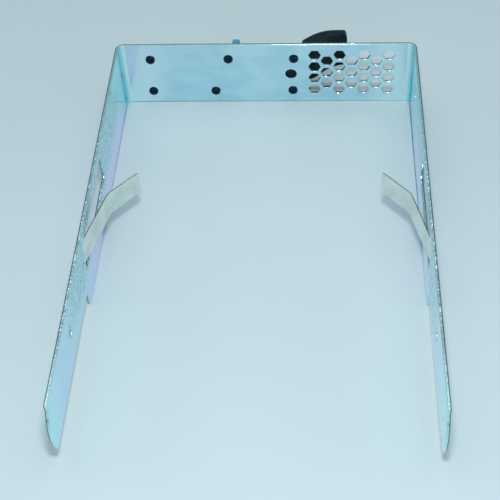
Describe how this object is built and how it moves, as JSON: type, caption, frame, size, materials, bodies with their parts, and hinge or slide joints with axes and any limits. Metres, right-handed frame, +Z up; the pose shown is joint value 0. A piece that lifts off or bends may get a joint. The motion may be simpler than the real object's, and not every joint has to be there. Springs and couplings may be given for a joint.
{
  "type": "hot-swap disk drive tray",
  "caption": "U-shaped folded steel tray that carries a 3.5 inch disk drive, with side leaf springs, a honeycomb vent, a moulded bezel, a swinging handle lever and a sprung release latch.",
  "frame": {"origin": "on the ground, under the middle of the tray's outer box", "axes": "+Y back along the rails to the open end, +Z up, +X to the lever's pivot side; the bezel is at -Y"},
  "size_m": [0.1064, 0.166, 0.0254],
  "materials": {
    "zinc_plated_steel": "blue-passivated zinc plate, satin, with a faint violet and green sheen",
    "spring_steel": "bare rolled stainless strip",
    "plated_pin": "bright plated",
    "black_plastic": "fine spark texture",
    "black_screw": "glossy black oxide",
    "blue_plastic": "smooth moulded"
  },
  "bodies": {
    "tray": {"tray_frame": "zinc_plated_steel", "bezel": "black_plastic", "bezel_screw_1": "black_screw", "bezel_screw_2": "black_screw", "bezel_screw_3": "black_screw", "bezel_screw_4": "black_screw", "bezel_screw_5": "black_screw", "bezel_screw_6": "black_screw", "right_spring_base": "spring_steel", "right_spring_rivet_1": "plated_pin", "right_spring_rivet_2": "plated_pin", "left_spring_base": "spring_steel", "left_spring_rivet_1": "plated_pin", "left_spring_rivet_2": "plated_pin", "lever_pivot_pin": "plated_pin", "lever_torsion_spring": "spring_steel", "latch_pin": "plated_pin", "latch_spring": "spring_steel"},
    "lever": {"handle_lever": "black_plastic"},
    "latch": {"release_latch": "blue_plastic"},
    "right_blade": {"right_spring_blade": "spring_steel"},
    "left_blade": {"left_spring_blade": "spring_steel"}
  },
  "joints": [
    {"name": "lever_swing", "type": "hinge", "parent": "tray", "child": "lever", "pos_m": [0.0472, -0.0727, 0.012], "axis": [0, 0, 1], "range_deg": [0, 70]},
    {"name": "latch_lift", "type": "hinge", "parent": "tray", "child": "latch", "pos_m": [0.0107, -0.0736, 0.019], "axis": [-1, 0, 0], "range_deg": [0, 20], "stiffness_Nm_per_rad": 0.01},
    {"name": "right_blade_flex", "type": "hinge", "parent": "tray", "child": "right_blade", "pos_m": [0.05248, 0.0209, 0.0165], "axis": [0, 0, 1], "range_deg": [0, 22], "stiffness_Nm_per_rad": 0.25},
    {"name": "left_blade_flex", "type": "hinge", "parent": "tray", "child": "left_blade", "pos_m": [-0.05248, 0.0209, 0.0165], "axis": [0, 0, -1], "range_deg": [0, 22], "stiffness_Nm_per_rad": 0.25}
  ]
}
